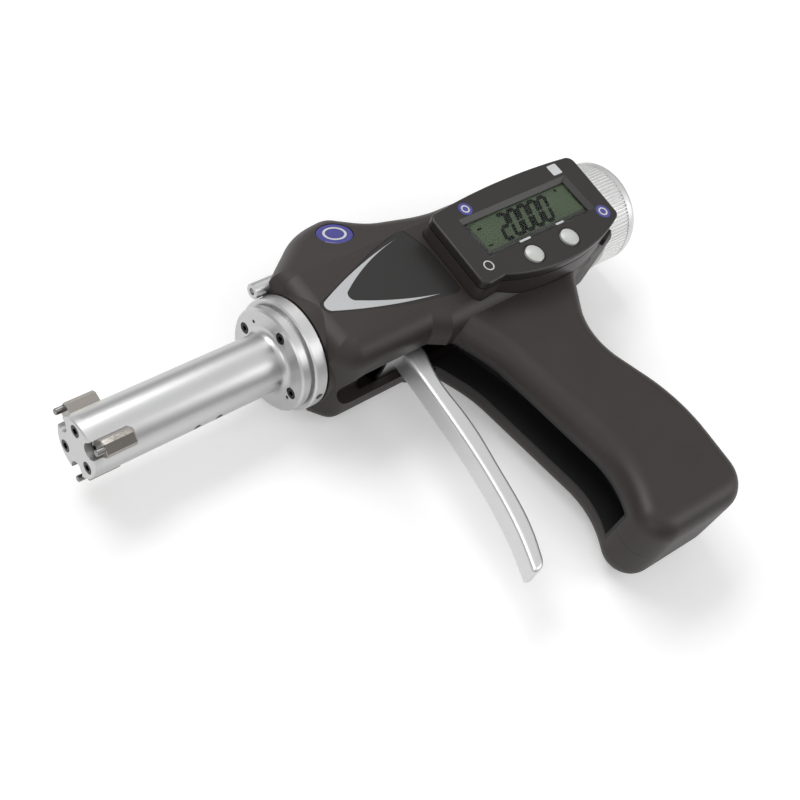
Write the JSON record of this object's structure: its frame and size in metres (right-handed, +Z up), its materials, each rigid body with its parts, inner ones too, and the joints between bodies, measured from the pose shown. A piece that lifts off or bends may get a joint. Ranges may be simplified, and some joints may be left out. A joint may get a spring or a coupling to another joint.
{
  "type": "three-point bore micrometer",
  "caption": "Pistol-grip digital bore gauge: a trigger-driven cone draws radial anvils in; barrel head, flanged nose, display, side panel and knurled rear knob.",
  "frame": {"origin": "under the middle of the gauge's overall box, on the surface it lies on", "axes": "+X along the barrel from the measuring head to the rear knob, +Y from the grip's foot towards the barrel, +Z up through the display; the gauge lies on its right side"},
  "size_m": [0.2224, 0.1506, 0.047],
  "materials": {
    "satin_steel": "satin",
    "ring_steel": "satin",
    "dark_steel": "polished",
    "bright_steel": "polished",
    "spring_steel": "plain",
    "bronze": "plain",
    "block_alloy": "plain",
    "housing_black": "soft matt",
    "liner_black": "matt",
    "panel_black": "satin",
    "stripe_silver": "metallic",
    "badge_blue": "gloss",
    "display_grey": "satin",
    "gasket_black": "matt",
    "window_clear": "clear",
    "lcd_green": "satin",
    "lcd_frame": "matt",
    "board_green": "satin",
    "button_pale": "satin",
    "battery_steel": "plain",
    "white_plastic": "matt",
    "knob_steel": "satin"
  },
  "bodies": {
    "gauge_body": {"head_barrel": "satin_steel", "head_end_cap": "satin_steel", "end_cap_screws": "dark_steel", "flange_screws": "dark_steel", "spring_seat": "block_alloy", "nose_ring": "ring_steel", "ring_grub_screw": "dark_steel", "front_block": "block_alloy", "rear_block": "block_alloy", "trigger_pin": "dark_steel", "trigger_stop_screw": "dark_steel", "housing_left": "housing_black", "housing_right": "housing_black", "housing_screws": "dark_steel", "trigger_channel": "liner_black", "side_panel": "panel_black", "panel_stripe": "stripe_silver", "round_badge": "badge_blue", "display_case": "display_grey", "display_gasket": "gasket_black", "display_bezel": "display_grey", "display_screws": "dark_steel", "display_window": "window_clear", "lcd_panel": "lcd_green", "lcd_holder": "lcd_frame", "circuit_board": "board_green", "button_switches": "white_plastic", "battery": "battery_steel", "battery_holder": "white_plastic", "port_plug": "gasket_black", "reader_head": "board_green", "rod_bush_head": "bronze", "rod_bush_body": "bronze", "rod_bush_rear": "bronze"},
    "trigger": {"trigger_lever": "bright_steel"},
    "rod": {"push_rod": "bright_steel", "cone_mandrel": "bright_steel", "thrust_collar": "satin_steel", "scale_strip": "bronze", "return_spring": "spring_steel"},
    "mode_button": {"button_mode": "button_pale"},
    "set_button": {"button_set": "button_pale"},
    "knob": {"rear_knob": "knob_steel"},
    "stop": {"travel_stop": "bright_steel"},
    "anvil_1_body": {"anvil_1": "dark_steel", "anvil_tip_1": "bright_steel"},
    "anvil_2_body": {"anvil_2": "dark_steel", "anvil_tip_2": "bright_steel"},
    "anvil_3_body": {"anvil_3": "dark_steel", "anvil_tip_3": "bright_steel"}
  },
  "joints": [
    {"name": "trigger_pull", "type": "hinge", "parent": "gauge_body", "child": "trigger", "pos_m": [-0.00825, 0.06352, 0.0186], "axis": [0, 0, 1], "range_deg": [0, 20], "stiffness_Nm_per_rad": 1.2, "springref_deg": -5.73},
    {"name": "rod_slide", "type": "slide", "parent": "gauge_body", "child": "rod", "axis": [1, 0, 0], "range_m": [0, 0.00768], "deforming": ["return_spring"]},
    {"name": "anvil_1_slide", "type": "slide", "parent": "gauge_body", "child": "anvil_1_body", "axis": [0, -0.9781, -0.2079], "range_m": [0, 0.003]},
    {"name": "anvil_2_slide", "type": "slide", "parent": "gauge_body", "child": "anvil_2_body", "axis": [0, 0.6691, -0.7431], "range_m": [0, 0.003]},
    {"name": "anvil_3_slide", "type": "slide", "parent": "gauge_body", "child": "anvil_3_body", "axis": [0, 0.309, 0.9511], "range_m": [0, 0.003]},
    {"name": "mode_press", "type": "slide", "parent": "gauge_body", "child": "mode_button", "axis": [0, 0, -1], "range_m": [0, 0.0007], "stiffness_N_per_m": 400, "springref_m": -0.0005},
    {"name": "set_press", "type": "slide", "parent": "gauge_body", "child": "set_button", "axis": [0, 0, -1], "range_m": [0, 0.0007], "stiffness_N_per_m": 400, "springref_m": -0.0005},
    {"name": "knob_turn", "type": "hinge", "parent": "gauge_body", "child": "knob", "pos_m": [0.09305, 0.04152, 0.0186], "axis": [1, 0, 0], "range_deg": [0, 1080]},
    {"name": "stop_slide", "type": "slide", "parent": "gauge_body", "child": "stop", "axis": [1, 0, 0], "range_m": [0, 0.003]}
  ],
  "couplings": [
    {"joint": "rod_slide", "follows": "trigger_pull", "m_per_rad": 0.022},
    {"joint": "anvil_1_slide", "follows": "trigger_pull", "m_per_rad": 0.0085943},
    {"joint": "anvil_2_slide", "follows": "trigger_pull", "m_per_rad": 0.0085943},
    {"joint": "anvil_3_slide", "follows": "trigger_pull", "m_per_rad": 0.0085943},
    {"joint": "stop_slide", "follows": "knob_turn", "m_per_rad": 0.00015915}
  ]
}
